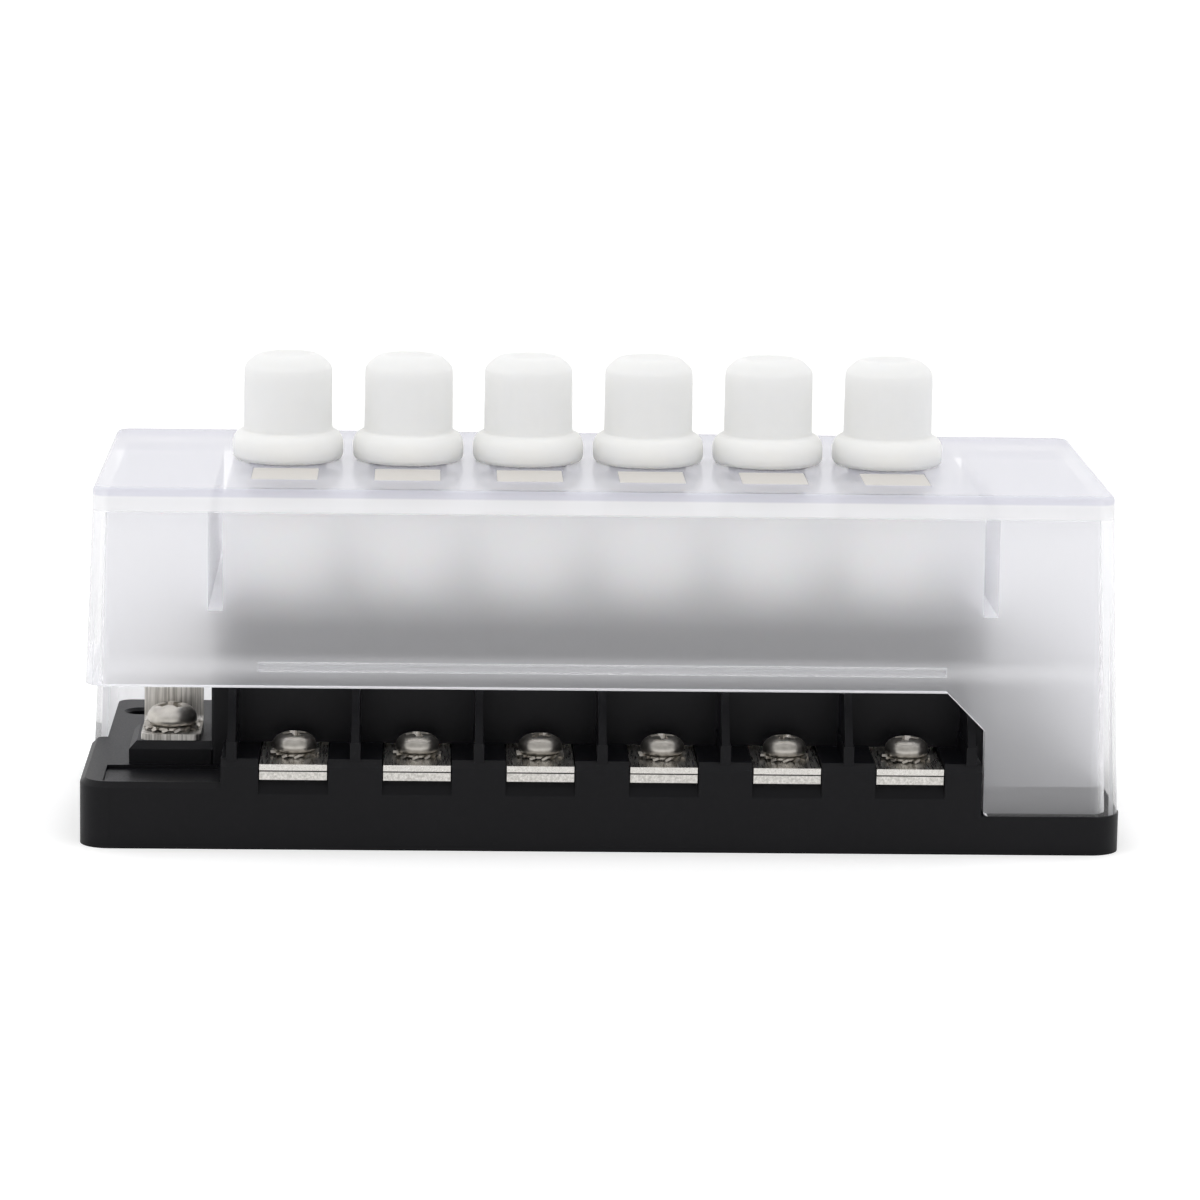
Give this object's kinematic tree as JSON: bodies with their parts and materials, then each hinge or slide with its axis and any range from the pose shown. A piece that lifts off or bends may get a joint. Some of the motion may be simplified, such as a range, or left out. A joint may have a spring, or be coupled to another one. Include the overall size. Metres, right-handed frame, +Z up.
{
  "type": "circuit breaker panel",
  "caption": "Row of plug-in push-button circuit breakers on a black terminal base, under a lift-off clear cover with translucent rubber boots over the reset buttons.",
  "frame": {"origin": "middle of the base's underside", "axes": "+X along the row of breakers, +Y from the wire terminals to the rear, +Z up"},
  "size_m": [0.1694, 0.07, 0.0768],
  "materials": {
    "black_moulding": "fine spark-eroded moulded texture",
    "tin_plate": "tin-plated copper strip, rolling marks",
    "spring_clip": "tin-plated spring bronze",
    "nickel_plate": "bright nickel plate",
    "clear_shell": "clear moulding, walls frosted on the inside",
    "label_card": "blank film label",
    "breaker_shell": "pale nylon moulding",
    "button_moulding": "white moulding",
    "boot_rubber": "translucent natural silicone"
  },
  "bodies": {
    "panel": {"base": "black_moulding", "busbar": "tin_plate", "bus_clips": "spring_clip", "output_strip_1": "tin_plate", "output_strip_2": "tin_plate", "output_strip_3": "tin_plate", "output_strip_4": "tin_plate", "output_strip_5": "tin_plate", "output_strip_6": "tin_plate", "nut_plates": "tin_plate", "terminal_screws": "nickel_plate", "lock_washers": "nickel_plate", "feed_screw": "nickel_plate", "feed_washer": "nickel_plate", "feed_nut": "nickel_plate", "breaker_body_1": "breaker_shell", "breaker_body_2": "breaker_shell", "breaker_body_3": "breaker_shell", "breaker_body_4": "breaker_shell", "breaker_body_5": "breaker_shell", "breaker_body_6": "breaker_shell", "breaker_blades_1": "tin_plate", "breaker_blades_2": "tin_plate", "breaker_blades_3": "tin_plate", "breaker_blades_4": "tin_plate", "breaker_blades_5": "tin_plate", "breaker_blades_6": "tin_plate"},
    "cover": {"cover": "clear_shell", "circuit_labels": "label_card", "boot_1": "boot_rubber", "boot_2": "boot_rubber", "boot_3": "boot_rubber", "boot_4": "boot_rubber", "boot_5": "boot_rubber", "boot_6": "boot_rubber"},
    "button_1": {"reset_button_1": "button_moulding"},
    "button_2": {"reset_button_2": "button_moulding"},
    "button_3": {"reset_button_3": "button_moulding"},
    "button_4": {"reset_button_4": "button_moulding"},
    "button_5": {"reset_button_5": "button_moulding"},
    "button_6": {"reset_button_6": "button_moulding"}
  },
  "joints": [
    {"name": "cover_lift", "type": "slide", "parent": "panel", "child": "cover", "axis": [0, 0, 1], "range_m": [0, 0.075]},
    {"name": "button_1_trip", "type": "slide", "parent": "panel", "child": "button_1", "axis": [0, 0, 1], "range_m": [0, 0.003]},
    {"name": "button_2_trip", "type": "slide", "parent": "panel", "child": "button_2", "axis": [0, 0, 1], "range_m": [0, 0.003]},
    {"name": "button_3_trip", "type": "slide", "parent": "panel", "child": "button_3", "axis": [0, 0, 1], "range_m": [0, 0.003]},
    {"name": "button_4_trip", "type": "slide", "parent": "panel", "child": "button_4", "axis": [0, 0, 1], "range_m": [0, 0.003]},
    {"name": "button_5_trip", "type": "slide", "parent": "panel", "child": "button_5", "axis": [0, 0, 1], "range_m": [0, 0.003]},
    {"name": "button_6_trip", "type": "slide", "parent": "panel", "child": "button_6", "axis": [0, 0, 1], "range_m": [0, 0.003]}
  ]
}
